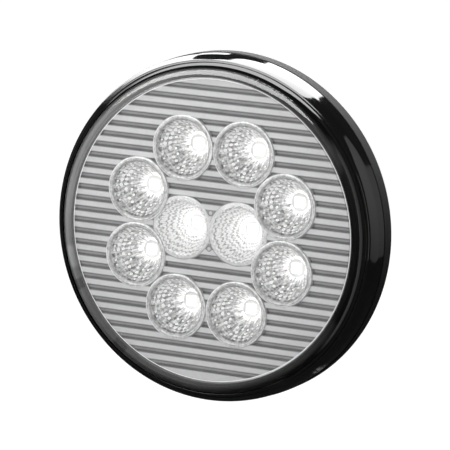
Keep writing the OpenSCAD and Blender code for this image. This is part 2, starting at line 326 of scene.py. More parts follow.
def round_corners(corners, steps=5):
    """Corners as (radial, y) or (radial, y, radius). A radius rounds the corner with an arc."""
    outline = []
    for k, corner in enumerate(corners):
        if len(corner) == 2:
            outline.append(corner)
            continue
        here = Vector(corner[:2])
        before = (Vector(corners[k - 1][:2]) - here).normalized()
        after = (Vector(corners[(k + 1) % len(corners)][:2]) - here).normalized()
        half = before.angle(after) / 2
        start = here + before * corner[2] / math.tan(half)
        end = here + after * corner[2] / math.tan(half)
        middle = here + (before + after).normalized() * corner[2] / math.sin(half)
        for j in range(steps + 1):
            spoke = (start - middle).lerp(end - middle, j / steps).normalized() * corner[2]
            outline.append(tuple(middle + spoke))
    return outline


print("a rounded corner has", len(round_corners([(0, 0), (1, 0, 0.2), (1, 1)])) - 2, "points")


# %% Spinning and finishing
ROUND_STEPS = 256
SAME_SPOT = 0.0005 * MM


def spin_outline(outline, steps, closed, centre=(0, 0)):
    """A bmesh of an outline in millimetres, spun about the Y direction through centre (x, z)."""
    made = bmesh.new()
    points = [made.verts.new((r * MM, y * MM, 0)) for r, y in outline]
    pairs = list(zip(points, points[1:] + points[:1])) if closed else list(zip(points, points[1:]))
    edges = [made.edges.new(pair) for pair in pairs]
    bmesh.ops.spin(
        made,
        geom=points + edges,
        cent=(0, 0, 0),
        axis=(0, 1, 0),
        angle=math.tau,
        steps=steps,
        use_merge=True,
    )
    bmesh.ops.remove_doubles(made, verts=made.verts, dist=SAME_SPOT)
    bmesh.ops.translate(made, verts=made.verts, vec=(centre[0] * MM, 0, centre[1] * MM))
    return made


def add_object(made, name, material):
    """Turns a bmesh into an object of the scene."""
    mesh = bpy.data.meshes.new(name)
    made.to_mesh(mesh)
    made.free()
    mesh.materials.append(material)
    added = bpy.data.objects.new(name, mesh)
    scene.collection.objects.link(added)
    return added


def finish_piece(made, name, material, sharp):
    """Turns a bmesh into a piece that rides on the lamp's one body. Edges over sharp degrees stay crisp."""
    bmesh.ops.recalc_face_normals(made, faces=made.faces)
    for face in made.faces:
        face.smooth = True
    piece = add_object(made, name, material)
    piece.data.set_sharp_from_angle(angle=math.radians(sharp))
    piece.modifiers.new("even_normals", "WEIGHTED_NORMAL").keep_sharp = True
    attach(piece, "root")
    return piece


print("round pieces are spun in", ROUND_STEPS, "steps")

# %% [markdown]
# ## Sizes that the pieces share
# The frame gives the main sizes: each CAD node's box and the record's mounts. What a box can't give, such as the
# width of the bead, is a named value in millimetres.


# %% Sizes from the frame
def box_mm(node):
    low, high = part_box(node)
    return low / MM, high / MM


mounts = {m["name"]: m for m in frame["record"]["mounts"]}
housing_low, housing_high = box_mm("housing")
lens_low, lens_high = box_mm("outer_lens")
plate_low, plate_high = box_mm("fluted_plate")
socket_low, socket_high = box_mm("plug_socket")
band_r = mounts["grommet_band"]["dims"]["r_mm"]
band_w = mounts["grommet_band"]["dims"]["length_mm"]
seat_y = mounts["rim_seat"]["pos_m"][1] / MM
lens_r = lens_high.x
bead_top = housing_low.y
can_back = housing_high.y
board_y = plate_high.y
print("band", band_r, "lens", round(lens_r, 2))
print("bead top", round(bead_top, 2), "can back", round(can_back, 2))

# %% [markdown]
# ## Black gloss
# The housing is a polished black moulding. It could be plain black with a coat, but what shows on it is reflections,
# so one nearly black shader with a low, slightly uneven roughness does it. The band that the grommet grips and the
# can behind it are duller, the fine line in front of the band is matt, and low on the wall a pale, rougher patch is a
# painted highlight where a glint shows.


# %% Housing's finish
BAND_SATIN = 0.7
BAND_MATT = 0.35
HIGHLIGHT_PATCH_R = 3.3 * MM
HIGHLIGHT_PATCH_LEVEL = 0.42


def housing_finish(highlight_patch_at):
    """The housing's black, with a pale patch painted as a highlight where the given place says, if one is given."""
    material, wire = start_material("housing_black")
    place = object_place(wire)
    y = split(wire, place)[1]
    ripple = noise(wire, place, 260, 3)
    grain = noise(wire, place, 2600, 2)
    front = -band_w / 2
    satin = y.fade_mm(front - 0.2, front)
    line = y.fade_mm(front - 0.6, front - 0.5) * y.fade_mm(front, front - 0.1)
    roughness = 0.045 + ripple * 0.05 + satin * BAND_SATIN
    colour = grain.mix(grey(0.004), grey(0.011))
    if highlight_patch_at is not None:
        from_highlight_patch = wire.node(
            "ShaderNodeVectorMath", {"operation": "DISTANCE"}, {0: place, 1: tuple(highlight_patch_at)}, output=1
        )
        torn = noise(wire, place, 900, 4, 0.7).fade(0.42, 0.6)
        # a pale patch painted as a highlight where a glint shows on the wall; it is rougher there too
        highlight_patch = from_highlight_patch.fade(HIGHLIGHT_PATCH_R, HIGHLIGHT_PATCH_R * 0.4) * torn
        colour = highlight_patch.mix(colour, grey(HIGHLIGHT_PATCH_LEVEL))
        roughness = roughness + highlight_patch * 0.4
    put_principled(
        wire,
        Base_Color=colour,
        Metallic=(satin * BAND_MATT).larger(line),
        Roughness=roughness,
        Normal=bump(wire, grain, 0.1, 0.02 * MM),
        IOR=1.5,
    )
    return material


print("scuff radius", HIGHLIGHT_PATCH_R / MM, "mm")

# %% [markdown]
# ## The housing
# The CAD's own mesh could stay, but its flat triangles would show in every reflection. So the moulding is spun again
# from one outline, which runs from the can's floor out round the can and the rim, over the lip and the bead and back
# down the inside. The floor keeps its hole for the plug socket, so it is filled between two loops.

# %% Housing's outline
BEAD_W = 0.95
BEAD_SLOPE = (16, 44)
BEAD_LIFT = 0.02
BEAD_NOSE = 0.1
BEAD_GROOVE_W = 0.25
BEAD_GROOVE_D = 0.7
LIP_W = 0.6
LIP_DROP = 0.55
LIP_ROUND = 0.9
LIP_START = 82
LENS_GAP = 0.15
BAND_STEP = 0.2
BAND_ROUND = 0.4
WALL_DRAFT = 0.1
LINE_W = 0.35
LINE_D = 0.22
LINE_ROUND = 0.05
EDGE_ROUND = 0.04
FLARE_LEN = 4.6
CAN_R = 47.5
CAN_WALL = 2.2
CAN_ROUND = 1.6
CAN_DRAFT = 0.35
FLOOR_WALL = 2.4
FLOOR_LOOP_R = 30.0
LEDGE_W = 1.75
SEAL_T = 0.8
SEAT_WALL = 1.8
SEAT_ROUND = 0.2

pocket_r = lens_r + LENS_GAP
bead_r = pocket_r + BEAD_W
lip_in_r = bead_r + BEAD_GROOVE_W
lip_r = lip_in_r + LIP_W
wall_r = band_r - BAND_STEP
chamber_r = pocket_r - LEDGE_W
lip_y = bead_top + LIP_DROP
band_front = -band_w / 2


def wall_and_lip():
    """The wall's flare and the lip's rounding, from the fine line forward."""
    flare = wall_r - WALL_DRAFT - lip_r
    flare_rho = (flare * flare + FLARE_LEN * FLARE_LEN) / (2 * flare)
    flare_turn = math.degrees(math.asin(FLARE_LEN / flare_rho))
    flare_y = lip_y + LIP_ROUND * (1 - math.sin(math.radians(flare_turn))) + FLARE_LEN
    lip_x = lip_r - LIP_ROUND * math.cos(math.radians(flare_turn))
    return [
        *arc((wall_r - WALL_DRAFT - flare_rho, flare_y), flare_rho, 0, -flare_turn, 12),
        *arc((lip_x, lip_y + LIP_ROUND), LIP_ROUND, -flare_turn, -LIP_START, 8)[1:],
    ]


def bead():
    """The bead beside the lens: one round slope up to a narrow nose."""
    low, high = (math.radians(turn) for turn in BEAD_SLOPE)
    rho = (BEAD_W - BEAD_NOSE) / (math.sin(high) - math.sin(low))
    middle = (pocket_r + BEAD_NOSE - rho * math.sin(low), bead_top + BEAD_LIFT + rho * math.cos(low))
    return [
        *arc(middle, rho, math.degrees(high) - 90, math.degrees(low) - 90, 8),
        *arc((pocket_r + BEAD_NOSE, bead_top + BEAD_NOSE), BEAD_NOSE, -92, -180, 5),
    ]


def housing_outline():
    flare_and_lip = wall_and_lip()
    back_and_band = round_corners([
        (FLOOR_LOOP_R, can_back),
        (CAN_R - CAN_DRAFT, can_back, CAN_ROUND),
        (CAN_R, seat_y, SEAT_ROUND),
        (band_r, seat_y, BAND_ROUND),
        (band_r, band_front, EDGE_ROUND),
        (wall_r - LINE_D, band_front - LINE_W / 2, LINE_ROUND),
        (wall_r, band_front - LINE_W, EDGE_ROUND),
        flare_and_lip[0],
    ], steps=4)
    groove = round_corners([
        (lip_in_r, lip_y, 0.1),
        (lip_in_r, lip_y + BEAD_GROOVE_D),
        (bead_r, lip_y + BEAD_GROOVE_D),
    ], steps=3)
    can_in_r = CAN_R - CAN_WALL - CAN_DRAFT
    chamber = [
        (pocket_r, lens_high.y + SEAL_T),
        (chamber_r, lens_high.y + SEAL_T),
        (chamber_r, seat_y - SEAT_WALL),
        (can_in_r, seat_y - SEAT_WALL),
        (can_in_r, can_back - FLOOR_WALL),
        (FLOOR_LOOP_R, can_back - FLOOR_WALL),
    ]
    return back_and_band + flare_and_lip[1:] + groove + bead() + chamber


print("housing outline:", len(housing_outline()), "points")


# %% Rounded rectangles
def rounded_rectangle(made, half_x, half_z, corner, y, steps=8):
    """A closed loop of edges round the Y axis, in millimetres."""
    points = []
    for sx, sz, start in ((1, 1, 0), (-1, 1, 90), (-1, -1, 180), (1, -1, 270)):
        middle = (sx * (half_x - corner), sz * (half_z - corner))
        points += arc(middle, corner, start, start + 90, steps)
    verts = [made.verts.new((x * MM, y * MM, z * MM)) for x, z in points]
    return [made.edges.new(pair) for pair in zip(verts, verts[1:] + verts[:1])]


def open_loop_at(made, y):
    """The edges of the open loop at this height."""
    return [
        edge for edge in made.edges
        if edge.is_boundary and all(abs(vert.co.y - y * MM) < SAME_SPOT for vert in edge.verts)
    ]


print("the socket's box is", [round(c, 1) for c in socket_high - socket_low], "mm")


# %% Build the housing
CLOSE_SLIP = 0.1
SOCKET_CORNER = 5.2
SOCKET_FLANGE_W = 2.5


def build_housing(material):
    made = spin_outline(housing_outline(), ROUND_STEPS, closed=False)
    half_x = socket_high.x - SOCKET_FLANGE_W + CLOSE_SLIP
    half_z = socket_high.z - SOCKET_FLANGE_W + CLOSE_SLIP
    hole = []
    for y in (can_back, can_back - FLOOR_WALL):
        rim = open_loop_at(made, y)
        loop = rounded_rectangle(made, half_x, half_z, SOCKET_CORNER + CLOSE_SLIP, y)
        bmesh.ops.triangle_fill(made, edges=rim + loop, use_beauty=True)
        hole.append(loop)
    bmesh.ops.bridge_loops(made, edges=hole[0] + hole[1])
    return finish_piece(made, "housing_shell", material, sharp=32)


housing_shell = build_housing(housing_finish(None))
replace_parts(housing_shell, "housing")
highlight_patch_at = place_on(IMAGE_POINTS["highlight_patch"], housing_shell)
housing_shell.data.materials[0] = housing_finish(highlight_patch_at)
print("housing:", len(housing_shell.data.polygons), "faces, scuff at", [round(c / MM, 1) for c in highlight_patch_at])

# %% [markdown]
# ## The clear lens
# The lens is one clear moulding: a flat face, a rounded edge and a short skirt. It could be real glass, but glass
# that bends light keeps the lamps from what is behind it. So it is a transparent shader with a mirror over it that
# grows towards grazing angles. A mirror that is rarely picked makes specks, so over the thick edge it is picked
# EDGE_BOOST times as often and is that much darker. The outermost edge is dull, and a narrow ring is the weld:
# nearly black, with a painted pale reflection on its right side.

# %% Lens sizes
LENS_WALL = 1.7
LENS_EDGE_W = 3.3
LENS_ROUND = 2.6
field_r = lens_r - LENS_EDGE_W
lens_in_y = lens_low.y + LENS_WALL
print("clear field radius", round(field_r, 2))


# %% Lens skin
LENS_IOR = 1.49
LENS_ROUGHNESS = 0.02
WELD_W = 0.45
WELD_REFLECTION_SIDE = (37, 44)
DULL_W = 0.85
DULL_LEAN = 0.014
DULL_SIDE = (38, 44)
EDGE_BOOST = 6.0


def lens_gloss(wire, level):
    return wire.node("ShaderNodeBsdfGlossy", None, {"Color": grey(level), "Roughness": LENS_ROUGHNESS})


def lens_finish():
    material, wire = start_material("lens_clear")
    place = object_place(wire)
    x, _, z = split(wire, place)
    radial = off_axis(x, z)
    fresnel = wire.node("ShaderNodeFresnel", None, {"IOR": LENS_IOR})
    clear = wire.node("ShaderNodeBsdfTransparent")
    dull = (radial - x * DULL_LEAN).fade_mm(lens_r - DULL_W - 0.1, lens_r - DULL_W + 0.15)
    dull_side = x.fade_mm(*DULL_SIDE) * radial.fade_mm(field_r + 1.6, field_r + 2.0)
    edge_share = (fresnel * EDGE_BOOST).smaller(1.0) * (1 - dull.larger(dull_side))
    face = mix_shaders(wire, fresnel, clear, lens_gloss(wire, 1.0))
    edge = mix_shaders(wire, edge_share, clear, lens_gloss(wire, 1.0 / EDGE_BOOST))
    on_edge = radial.fade_mm(field_r - 0.05, field_r + 0.1)
    grain = noise(wire, place, 1500, 3)
    # the weld is nearly black; its paler right side is a painted reflection
    weld_tone = 0.004 + grain * 0.008 + x.fade_mm(*WELD_REFLECTION_SIDE) * 0.07
    weld = principled(
        wire, Base_Color=shade(wire, weld_tone), Roughness=0.6 + grain * 0.2, Specular_IOR_Level=0.0
    )
    on_weld = radial.fade_mm(lens_r - WELD_W, lens_r - WELD_W + 0.15)
    put_on_surface(wire, mix_shaders(wire, on_weld, mix_shaders(wire, on_edge, face, edge), weld))
    return material


def build_lens():
    corners = [
        (0, lens_in_y),
        (field_r, lens_in_y, 0.06),
        (field_r, lens_high.y, 0.1),
        (lens_r, lens_high.y, 0.1),
        (lens_r, lens_low.y, LENS_ROUND),
        (0, lens_low.y),
    ]
    made = spin_outline(round_corners(corners, steps=10), ROUND_STEPS, closed=False)
    return finish_piece(made, "clear_lens", lens_finish(), sharp=50)


clear_lens = build_lens()
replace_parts(clear_lens, "outer_lens")
print("lens:", len(clear_lens.data.polygons), "faces")

# %% [markdown]
# ## What shows in the lens's thick edge
# Nobody sees straight through the thick edge of a clear moulding. The backs of its inner faces throw back what is
# round the lamp, so the edge looks like a smoky ring with a narrow flat and a wide slope. Bent light would show that
# by itself, but this lens doesn't bend it. So the ring is a thin piece inside the clear edge, in a cloudy grey, and
# its tone is painted reflection: paler on the left, dark on the far right, darker towards the bottom and over the
# flat, with a few painted streaks, lighter and darker.

# %% Smoky ring in the edge
RING_INSET = 0.06
RING_OUTSET = 0.35
RING_FLAT_W = 0.75
RING_SWEEP = 5.0
RING_SWEEP_END = -64.5
RING_FOOT = 0.1
PAINTED_EDGE_STREAKS = ((-164, 5, 0.15), (-153.5, 2.5, -0.12), (-126, 3.5, -0.1))


def edge_outline():
    inner, outer = field_r + RING_INSET, lens_r - RING_OUTSET
    front, back = lens_in_y + RING_INSET, lens_high.y - RING_FOOT
    slope = arc((inner + RING_FLAT_W, front + RING_SWEEP), RING_SWEEP, -90, RING_SWEEP_END, 10)
    return [(inner, back), (inner, front), *slope, (outer, back)]


def edge_finish():
    """Its tone is painted reflection. Each streak is its direction round the lamp, half its width, both in degrees,
    and its change of level.
    """
    material, wire = start_material("lens_edge_painted_reflection")
    place = object_place(wire)
    x, _, z = split(wire, place)
    cloud = noise(wire, place, 90, 3)
    grain = noise(wire, place, 1600, 2)
    side = x + noise(wire, place, 70, 2) * 0.006
    # painted reflection: paler on the left, dark on the far right
    bright = 0.09 + side.fade(0.03, -0.045) * 0.15 - side.fade(0.041, 0.047) * 0.087
    turn = wire.math("ARCTAN2", z, x)
    # painted streaks of reflection
    for degrees, half_width, change in PAINTED_EDGE_STREAKS:
        off_streak = (turn - math.radians(degrees)).size()
        bright = bright + off_streak.fade(math.radians(half_width), math.radians(half_width * 0.6)) * change
    flat_end = field_r + RING_FLAT_W
    flat = off_axis(x, z).fade_mm(flat_end + 0.4, flat_end)
    # painted reflection: darker towards the bottom and over the flat
    bright = bright * (1 - z.fade(0.005, -0.04) * 0.45) * (1 - flat * 0.3)
    put_principled(
        wire,
        Base_Color=shade(wire, bright * (0.98 + cloud * 0.5 + grain * 0.1)),
        Roughness=0.5 + grain * 0.1,
        Specular_IOR_Level=0.1,
        Normal=bump(wire, grain, 0.1, 0.05 * MM),
    )
    return material


def build_edge():
    made = spin_outline(edge_outline(), ROUND_STEPS, closed=True)
    return finish_piece(made, "lens_edge", edge_finish(), sharp=30)


print("smoky ring:", len(build_edge().data.polygons), "faces")

# %% [markdown]
# ## The fluted plate
# The reflector behind the lens is a bright, satin plate with level flutes. The CAD plate is flat and exact, so it
# isn't modelled again and only gets a finish. The shade in a flute is painted: two dark flanks and a grey floor, and
# painted shade on the land beside it. The material finds all that by how deep a point lies and where it is in the
# pitch. The ring outside the flutes' ends is a painted highlight: it is paler and glows a little, where the LEDs
# light the plate's edge.

# %% Plate's finish
PLATE_FRONT = plate_low.y
FLUTE_PITCH = 3.5
FLUTE_W = 1.6
FLUTE_RISE = 0.3
FLUTE_COUNT = 26
SHOULDER_SHADE_W = 0.38
FLUTE_END_R = 46.85
EDGE_GLINT = 0.42


def stretched_noise(wire, place, scale):
    """Noise drawn out along the flutes."""
    return noise(wire, wire.node("ShaderNodeMapping", None, {"Vector": place, "Scale": scale}), 1.0, 3)


def plate_finish():
    material, wire = start_material("plate_satin")
    place = object_place(wire)
    x, y, z = split(wire, place)
    radial = off_axis(x, z)
    tone = noise(wire, place, 900, 3)
    drawn = stretched_noise(wire, place, (60, 1, 2600))
    blotch = stretched_noise(wire, place, (160, 1, 700))
    deep = y.fade_mm(PLATE_FRONT + 0.04, PLATE_FRONT + 0.1)
    rows = (z - FLUTE_RISE * MM) / (FLUTE_PITCH * MM)
    across = (rows.fraction() - 0.5) * (FLUTE_PITCH / FLUTE_W)
    # painted shade in each flute: dark flanks and a grey floor
    upper_flank_shade = across.fade(0.16, 0.30)
    lower_flank_shade = across.fade(-0.04, -0.26)
    shaded_floor_tone = (0.32 - upper_flank_shade * 0.18 - lower_flank_shade * 0.22) * (0.6 + blotch * 0.8)
    # painted shade on the land beside each flute
    shoulder_shade = across.size().fade(0.5 + SHOULDER_SHADE_W / FLUTE_W, 0.49)
    shoulder_shade = shoulder_shade * radial.fade_mm(FLUTE_END_R + 0.1, FLUTE_END_R - 0.15)
    shoulder_shade = shoulder_shade * rows.size().fade(FLUTE_COUNT / 2 + 0.02, FLUTE_COUNT / 2 - 0.02)
    # painted highlight: the ring outside the flutes' ends is paler and glows
    rim = radial.fade_mm(FLUTE_END_R - 0.02, FLUTE_END_R + 0.1)
    land_tone = 0.74 + (drawn - 0.5) * 0.12 + (tone - 0.5) * 0.1 + rim * 0.26
    land_tone = land_tone * (1 - shoulder_shade * 0.62)
    level = land_tone + deep * (shaded_floor_tone - land_tone)
    put_principled(
        wire,
        Base_Color=wire.node("ShaderNodeCombineColor", None, {0: level, 1: level, 2: level * 1.01}),
        Metallic=0.1,
        Roughness=0.34 + tone * 0.1,
        Emission_Color=rim.mix(grey(0.0), grey(EDGE_GLINT)),
        Emission_Strength=1.0,
        Normal=bump(wire, drawn * 0.5 + tone * 0.5, 0.2, 0.03 * MM),
    )
    return material


def dress(node, material):
    """Gives a CAD node's own mesh a finish."""
    slots = frame["nodes"][node].data.materials
    slots.clear()
    slots.append(material)


dress("fluted_plate", plate_finish())
print("plate front at", round(PLATE_FRONT, 2), "mm")

# %% [markdown]
# ## Bowl reflectors
# Each bowl is a metallised moulding with a flat rim. A squashed half sphere would be near enough to the eye, but a
# lamp's bowl is a paraboloid with its focus at the LED, so that curve is worked out and spun. The rims of the two in
# the centre would overlap, so what reaches past the middle, or into a bowl of the ring, is moved back to the cut.

# %% Bowl sizes
CUP_RIM_W = 1.65
CUP_RIM_T = 0.6
CUP_LEAD = 0.6
CUP_WALL = 0.6
CUP_SLIP = 0.1
CUP_TURNS = 144
BOWL_STEPS = 26
WEB_W = 0.5
HAIR_GAP = 0.03
RING = [f"ring_cup_{k}" for k in range(1, 9)]
CENTRE = ["centre_cup_1", "centre_cup_2"]
RING_RIM_R = (box_mm("ring_cup_1")[1].x - box_mm("ring_cup_1")[0].x) / 2
CENTRE_RIM_R = (box_mm("centre_cup_1")[1].z - box_mm("centre_cup_1")[0].z) / 2


def cup_centre(node):
    low, high = box_mm(node)
    if node in RING:
        return ((low.x + high.x) / 2, (low.z + high.z) / 2)
    outside = low.x + CENTRE_RIM_R if low.x < -HAIR_GAP * 2 else high.x - CENTRE_RIM_R
    return (outside, (low.z + high.z) / 2)


print("rims", round(RING_RIM_R, 2), round(CENTRE_RIM_R, 2))
print("centre bowl at", round(cup_centre("centre_cup_2")[0], 2))


# %% Bowl outline
RING_HOLE_R = RING_RIM_R - CUP_RIM_W + CUP_WALL + CUP_SLIP


def mouth_radii():
    """The pair's mouths are as wide as the plate between the holes allows."""
    apart = math.dist(cup_centre("ring_cup_1"), cup_centre("centre_cup_2"))
    return {
        "ring_cup": RING_RIM_R - CUP_RIM_W,
        "centre_cup": apart - RING_HOLE_R - WEB_W - CUP_SLIP - CUP_WALL,
    }


MOUTH_R = mouth_radii()


def cup_outline(node):
    low, high = box_mm(node)
    rim_r = RING_RIM_R if node in RING else CENTRE_RIM_R
    mouth_r = MOUTH_R[node[:-2]]
    front = low.y
    mouth_y = front + CUP_RIM_T
    depth = high.y - mouth_y
    focal = (math.hypot(depth, mouth_r) - depth) / 2
    bowl = []
    for k in range(BOWL_STEPS + 1):
        h = depth * k / BOWL_STEPS
        bowl.append((2 * math.sqrt(focal * (h + focal)), high.y - h))
    rim = round_corners([
        bowl[-1],
        (mouth_r + CUP_LEAD, front, 0.15),
        (rim_r, front, 0.3),
        (rim_r, mouth_y, 0.1),
        (mouth_r + CUP_WALL, mouth_y),
    ], steps=4)[1:]
    outer = [(r + CUP_WALL, y) for r, y in reversed(bowl)]
    return bowl + rim + outer[1:]


print("mouths", {name: round(r, 2) for name, r in MOUTH_R.items()})


# %% Bowl UV map and the pair's cuts
def map_bowl(made, centre, rim_r):
    """U goes once round the bowl. V is the distance from its axis, 1 at the outside of the rim."""
    layer = made.loops.layers.uv.new("around")
    for face in made.faces:
        middle = face.calc_center_median()
        base = math.atan2(middle.z - centre[1] * MM, middle.x - centre[0] * MM) / math.tau
        for loop in face.loops:
            across = Vector((loop.vert.co.x - centre[0] * MM, loop.vert.co.z - centre[1] * MM))
            turn = math.atan2(across.y, across.x) / math.tau
            turn += round(base - turn)
            loop[layer].uv = (turn, across.length / (rim_r * MM))


def cut_rim(made, side):
    """Moves what would reach past the middle, or into a bowl of the ring, back to the cut."""
    ring = [cup_centre(node) for node in RING]
    for vert in made.verts:
        if vert.co.x * side < HAIR_GAP * MM:
            vert.co.x = HAIR_GAP * MM * side
        for x, z in ring:
            away = Vector((vert.co.x - x * MM, vert.co.z - z * MM))
            if away.length < RING_HOLE_R * MM:
                away = away.normalized() * RING_HOLE_R * MM
                vert.co.x, vert.co.z = x * MM + away.x, z * MM + away.y


print("the pair's rims stop", HAIR_GAP, "mm from the middle")

# %% [markdown]
# ## What covers the bowls
# The ring's bowls have fine flutes that run down to the LED, and four rows of small round dimples under the rim. The
# two in the centre are covered with zigzag courses of pebbles. Thousands of small faces could show that, but from
# here a pattern in the material does. It follows the bowl, so it reads the UV map. The light on them is painted too:
# glints on the dimples, highlight and shade on the pebbles, one side of each ring bowl paler, and a glare star round
# the LED. The wall also glows a little, as the LED's own light doesn't carry that far in the render.


# %% Bowl patterns
LIGHT_FROM = math.radians(60)
# the painted glare round each LED has arms up to this long, in millimetres
STAR_ARM = 1.5


def bowl_base(name):
    material, wire = start_material(name)
    uv = wire.node("ShaderNodeUVMap", {"uv_map": "around"})
    around, out = split(wire, uv)[:2]
    return material, wire, object_place(wire), around, out


def rays(wire, around, radial, count, reach):
    """Fine flutes that run towards the LED."""
    place = wire.node("ShaderNodeCombineXYZ", None, {0: around * count, 1: radial * reach, 2: 0.0})
    return noise(wire, place, 1.0, 3, 0.65)


def toward(wire, around, angle):
    """1 where the bowl's wall lies towards this angle, -1 on the far side."""
    return wire.math("COSINE", around * math.tau - angle)


def put_reflector(wire, level, roughness, glow, height, depth):
    """level is how bright the metal is, painted light and shade included, and glow is the light painted on as
    emission.
    """
    put_principled(
        wire,
        Base_Color=shade(wire, level.larger(0.08).smaller(1.0)),
        Metallic=0.25,
        Roughness=roughness,
        Emission_Color=glow.mix(grey(0.0), grey(1.0)),
        Emission_Strength=1.0,
        Normal=bump(wire, height, 0.5, depth),
    )


print("a star's arm is up to", STAR_ARM, "mm")


# %% The ring's bowls
DIMPLE_ROWS = ((34, 8.15, 0.16, 0.32), (31, 7.55, 0.24, 0.44), (28, 6.8, 0.26, 0.44), (21, 5.9, 0.22, 0.36))
RIM_BEAD_IN = (9.75, 9.9)
RIM_BEAD_OUT = (10.2, 10.05)
GLINT = 0.5


def dimples(wire, around, radial, count, row, length, width):
    """One row of dimples: how high each stands, and a random number for each."""
    cell = around * count + row * 7.3
    lot = wire.node("ShaderNodeTexWhiteNoise", {"noise_dimensions": "1D"}, {"W": cell.whole() + row * 77})
    drift = (lot - 0.5) * 0.5
    across = (cell.fraction() - 0.5) * (math.tau * row / count / width)
    away = (radial - row - drift * length) / length
    spot = (1 - (across * across + away * away)).larger(0.0)
    return spot.power(0.5), lot


def ring_finish():
    """A dimple row is how many, how far out, and half a dimple's length and width, in millimetres."""
    material, wire, place, around, out = bowl_base("reflector_dimpled")
    radial = out * RING_RIM_R
    mouth = MOUTH_R["ring_cup"]
    wall = radial.fade(mouth + 0.1, mouth - 0.05)
    line = radial.fade(mouth - 0.35, mouth - 0.1) * radial.fade(mouth + 0.4, mouth + 0.1)
    bead_line = radial.fade(*RIM_BEAD_IN) * radial.fade(*RIM_BEAD_OUT)
    grain = rays(wire, around, radial, 52, 0.5).fade(0.34, 0.66)
    streak = rays(wire, around, radial, 26, 0.25).fade(0.34, 0.66)
    arcs = rays(wire, around, radial, 9, 2.6).fade(0.3, 0.7)
    speck = noise(wire, place, 1150, 3, 0.75).fade(0.34, 0.66)
    glint = height = None
    for row in DIMPLE_ROWS:
        spot, lot = dimples(wire, around, radial, *row)
        bright = spot.fade(0.2, 0.6) * lot.fade(0.35, 0.6)
        glint = bright if glint is None else glint.larger(bright)
        height = spot if height is None else height + spot
    # painted light: the wall towards LIGHT_FROM is paler and the far side darker
    tone = 0.56 + toward(wire, around, LIGHT_FROM) * 0.08 + (grain - 0.5) * 0.55 + (speck - 0.5) * 0.5
    tone = tone + (arcs - 0.5) * 0.5 * radial.fade(6.0, 7.5) + radial.fade(6.2, 7.6) * 0.12
    # the dimples' glints are painted highlights, here in the colour and below in the glow
    tone = tone + glint * (1 - tone)
    rim = 0.62 + (speck - 0.5) * 0.3 + (arcs - 0.5) * 0.4 + bead_line * 0.3
    level = tone * wall + rim * (1 - wall) - line * 0.2
    # painted light: a soft glow over the wall and a glare star round the LED
    glow = radial.fade(6.8, 0.5) * (0.22 + streak * 0.36) + glint * GLINT
    glow = glow + (radial - streak * STAR_ARM).fade(3.3, 1.5) * 0.75
    put_reflector(wire, level, 0.3 + speck * 0.12, glow, height + grain * 0.4 + arcs * 0.3, 0.12 * MM)
    return material


print("dimple rows:", len(DIMPLE_ROWS))


# %% The centre pair
PEBBLE_PITCH = 0.9
PEBBLES_AROUND = 34
PEBBLE_ZIG = 0.9


def pebbles(wire, around, radial, drift):
    """Courses of dimples with zigzag joints: 1 in the middle of a dimple and 0 in a joint."""
    zigzag = ((around * PEBBLES_AROUND).fraction() - 0.5).size()
    course = radial / PEBBLE_PITCH + zigzag * PEBBLE_ZIG + (drift - 0.5) * 2.0
    along = ((around * PEBBLES_AROUND * 2 + course.whole() * 0.5).fraction() - 0.5).size()
    return (course.fraction() - 0.5).size().fade(0.5, 0.18) * (along.fade(0.52, 0.2) * 0.45 + 0.55)


def centre_finish():
    material, wire, place, around, out = bowl_base("reflector_pebbled")
    radial = out * CENTRE_RIM_R
    pattern = radial.fade(9.0, 8.7)
    rise = pebbles(wire, around, radial, noise(wire, place, 260, 1))
    speck = noise(wire, place, 1300, 3, 0.7).fade(0.34, 0.66)
    arcs = rays(wire, around, radial, 14, 2.4).fade(0.3, 0.7)
    # painted highlight and shade: the pebbles are bright in the middle and dark in the joints
    wall = 0.46 + rise * 0.5 + (speck - 0.5) * 0.4
    rim = 0.76 + (arcs - 0.5) * 0.2 + (speck - 0.5) * 0.16
    level = wall * pattern + rim * (1 - pattern)
    # painted light: a soft glow over the pebbles and a glare star round the LED
    glow = radial.fade(5.0, 0.8) * (0.04 + rise * 0.14) + (rise * 0.1 + 0.03) * pattern
    glow = glow + (radial - speck * STAR_ARM).fade(3.2, 1.4) * 0.6
    put_reflector(wire, level, 0.3 + speck * 0.1, glow, rise * pattern + speck * 0.15, 0.15 * MM)
    return material


print("a course of pebbles is", PEBBLE_PITCH, "mm")


# %% Build the bowls
def build_cup(node, material):
    centre = cup_centre(node)
    made = spin_outline(cup_outline(node), CUP_TURNS, closed=True, centre=centre)
    bmesh.ops.recalc_face_normals(made, faces=made.faces)
    map_bowl(made, centre, RING_RIM_R if node in RING else CENTRE_RIM_R)
    if node in CENTRE:
        cut_rim(made, -1 if centre[0] < 0 else 1)
    name = node.replace("cup", "reflector")
    cup = finish_piece(made, name, material, sharp=45)
    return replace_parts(cup, node)


ring_metal, centre_metal = ring_finish(), centre_finish()
cups = {node: build_cup(node, ring_metal) for node in RING}
cups.update({node: build_cup(node, centre_metal) for node in CENTRE})
print("bowls:", len(cups), "of", len(cups["ring_cup_1"].data.polygons), "faces")

# %% [markdown]
# ## LEDs
# At the bottom of each bowl sits an LED: a white package with a clear dome over it. A lamp could light each bowl, but
# it would have no shape of its own. So the piece itself is lit, bright enough to be white all over.

# %% LEDs
LED_SIDE = 3.0
LED_H = 0.7
LED_BEVEL = 0.12
LED_TURNS = 32
LED_LIGHT = 3.0


